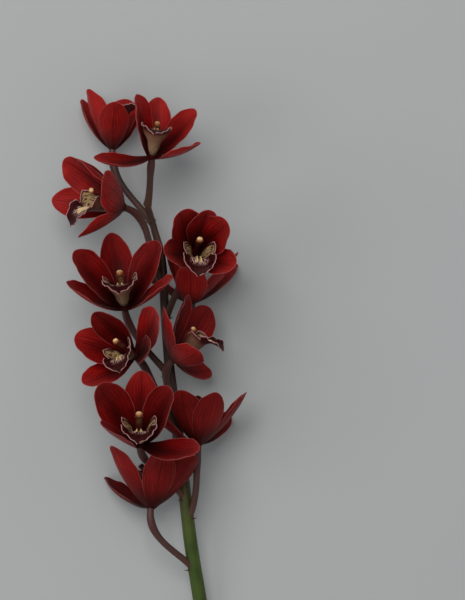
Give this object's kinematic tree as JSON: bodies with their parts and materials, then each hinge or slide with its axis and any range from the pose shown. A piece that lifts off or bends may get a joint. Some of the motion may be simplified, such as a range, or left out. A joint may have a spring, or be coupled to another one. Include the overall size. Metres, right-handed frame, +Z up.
{
  "type": "cymbidium orchid stem",
  "caption": "Cut stem of dark red cymbidium orchids lying down: a green flower stem, curved flower stalks, and open blooms with lobed lips.",
  "frame": {"origin": "middle of the footprint, on the surface that the stem lies on", "axes": "+Y along the stem towards its tip, +Z up from the surface, +X to the right when looking down with the tip away from the viewer"},
  "size_m": [0.157, 0.5204, 0.1291],
  "materials": {
    "stem": "satin",
    "tepals": "satin",
    "lip": "satin",
    "column": "satin",
    "anther_cap": "satin"
  },
  "bodies": {
    "root": {"bloom_01_anther_cap": "anther_cap", "bloom_01_column": "column", "bloom_01_lip": "lip", "bloom_01_tepals": "tepals", "bloom_02_anther_cap": "anther_cap", "bloom_02_column": "column", "bloom_02_lip": "lip", "bloom_02_tepals": "tepals", "bloom_03_anther_cap": "anther_cap", "bloom_03_column": "column", "bloom_03_lip": "lip", "bloom_03_tepals": "tepals", "bloom_04_anther_cap": "anther_cap", "bloom_04_column": "column", "bloom_04_lip": "lip", "bloom_04_tepals": "tepals", "bloom_05_anther_cap": "anther_cap", "bloom_05_column": "column", "bloom_05_lip": "lip", "bloom_05_tepals": "tepals", "bloom_06_anther_cap": "anther_cap", "bloom_06_column": "column", "bloom_06_lip": "lip", "bloom_06_tepals": "tepals", "bloom_07_anther_cap": "anther_cap", "bloom_07_column": "column", "bloom_07_lip": "lip", "bloom_07_tepals": "tepals", "bloom_08_anther_cap": "anther_cap", "bloom_08_column": "column", "bloom_08_lip": "lip", "bloom_08_tepals": "tepals", "bloom_09_anther_cap": "anther_cap", "bloom_09_column": "column", "bloom_09_lip": "lip", "bloom_09_tepals": "tepals", "bloom_10_anther_cap": "anther_cap", "bloom_10_column": "column", "bloom_10_lip": "lip", "bloom_10_tepals": "tepals", "bloom_11_anther_cap": "anther_cap", "bloom_11_column": "column", "bloom_11_lip": "lip", "bloom_11_tepals": "tepals", "stem": "stem"}
  },
  "joints": []
}
